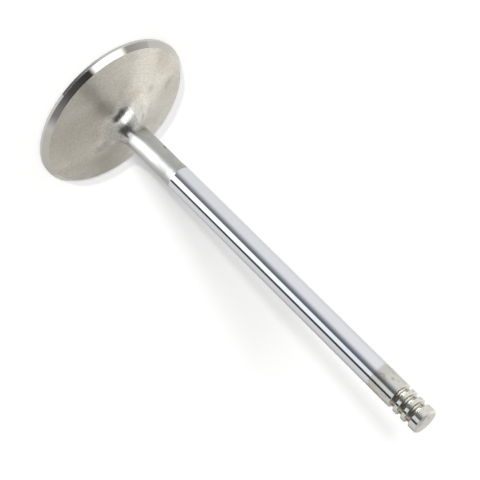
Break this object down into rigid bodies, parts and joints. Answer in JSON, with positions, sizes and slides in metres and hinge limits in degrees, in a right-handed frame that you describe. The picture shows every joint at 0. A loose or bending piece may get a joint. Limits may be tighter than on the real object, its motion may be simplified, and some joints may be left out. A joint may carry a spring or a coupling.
{
  "type": "engine valve",
  "caption": "Poppet valve for a piston engine: a flat round head with a bevelled seat, swept into a long ground stem with half-round keeper grooves near the tip.",
  "frame": {"origin": "centre of the flat combustion face", "axes": "+Z along the stem, from the combustion face to the tip; the valve stands on its head, and X and Y are any two directions across it, because it is a body of revolution"},
  "size_m": [0.0524, 0.0524, 0.1342],
  "materials": {
    "valve_steel": "ground and polished heat-resistant steel, with hard chrome plating on the stem's guide length"
  },
  "bodies": {
    "root": {"valve": "valve_steel"}
  },
  "joints": []
}
